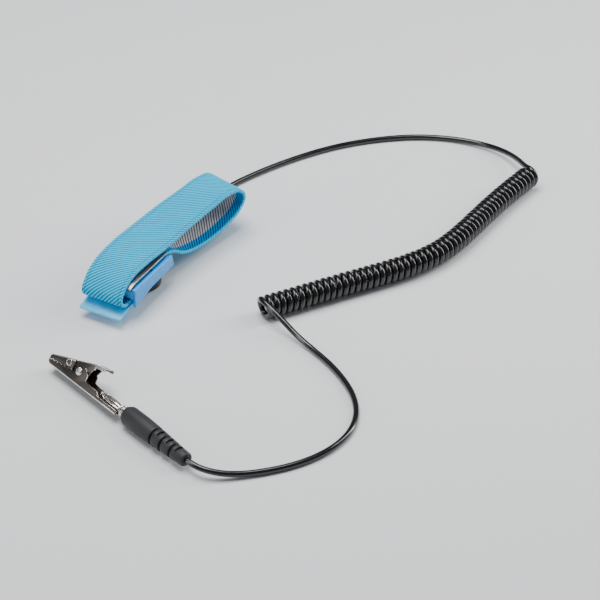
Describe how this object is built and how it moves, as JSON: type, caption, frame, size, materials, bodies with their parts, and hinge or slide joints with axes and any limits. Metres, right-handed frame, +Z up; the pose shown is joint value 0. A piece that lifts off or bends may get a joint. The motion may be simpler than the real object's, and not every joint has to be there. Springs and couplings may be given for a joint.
{
  "type": "anti-static wrist strap",
  "caption": "Elastic wristband with a lever buckle and snap stud, on a coiled grounding cord that ends in a banana plug and an alligator clip.",
  "frame": {"origin": "centre of the snap head's flat underside, on the stud's axis and on the surface the part lies on", "axes": "+Z up along the stud's axis, +X along the buckle from the lever's lip towards the far end of the band, +Y to complete a right-handed frame"},
  "size_m": [0.2678, 0.1401, 0.0232],
  "materials": {
    "shell_black": "semi-gloss moulded",
    "snap_metal": "nickel plated",
    "resistor_tan": "coated",
    "tin_wire": "tinned",
    "relief_black": "soft moulded",
    "buckle_blue": "moulded blue",
    "lever_cyan": "moulded bright blue",
    "plate_steel": "stainless, polished",
    "band_blue": "elastic webbing with a conductive inside",
    "cord_black": "glossy sheath",
    "boot_grey": "matte moulded",
    "plug_nickel": "nickel plated",
    "clip_nickel": "nickel plated sheet",
    "spring_steel": "wire"
  },
  "bodies": {
    "cord_set": {"head_shell": "shell_black", "head_lid": "shell_black", "snap_socket": "snap_metal", "resistor": "resistor_tan", "resistor_wires": "tin_wire", "wire_crimp": "tin_wire", "cord_relief": "relief_black", "cord_strap_lead": "cord_black", "cord_coil": "cord_black", "cord_clip_lead": "cord_black", "clip_boot": "boot_grey", "plug_pin": "plug_nickel", "plug_collar": "plug_nickel", "plug_cage": "plug_nickel"},
    "snap_ring": {"ring_spring": "spring_steel"},
    "strap": {"snap_stud": "snap_metal", "stud_eyelet": "snap_metal", "buckle_tray": "buckle_blue", "skin_plate": "plate_steel", "lever_pin": "tin_wire", "elastic_band": "band_blue"},
    "lever": {"locking_lever": "lever_cyan"},
    "clip": {"lower_jaw": "clip_nickel", "pivot_rivet": "clip_nickel", "jaw_spring": "spring_steel"},
    "clip_jaw": {"upper_jaw": "clip_nickel"}
  },
  "joints": [
    {"name": "strap_swivel", "type": "hinge", "parent": "cord_set", "child": "snap_ring", "pos_m": [0, 0, 0.0085], "axis": [0, 0, 1], "range_deg": [-45, 100]},
    {"name": "snap_pull_off", "type": "slide", "parent": "snap_ring", "child": "strap", "axis": [0, 0, 1], "range_m": [0, 0.006], "deforming": ["ring_spring"]},
    {"name": "lever_open", "type": "hinge", "parent": "strap", "child": "lever", "pos_m": [-0.0115, 0, 0.0106], "axis": [0, -1, 0], "range_deg": [0, 70]},
    {"name": "clip_pull_off", "type": "slide", "parent": "cord_set", "child": "clip", "axis": [0.3256, 0.9455, 0], "range_m": [0, 0.016]},
    {"name": "jaw_open", "type": "hinge", "parent": "clip", "child": "clip_jaw", "pos_m": [-0.07091, -0.01789, 0.00669], "axis": [0.7451, -0.2566, -0.6157], "range_deg": [0, 25], "stiffness_Nm_per_rad": 0.14, "springref_deg": -34.38, "deforming": ["jaw_spring"]}
  ]
}
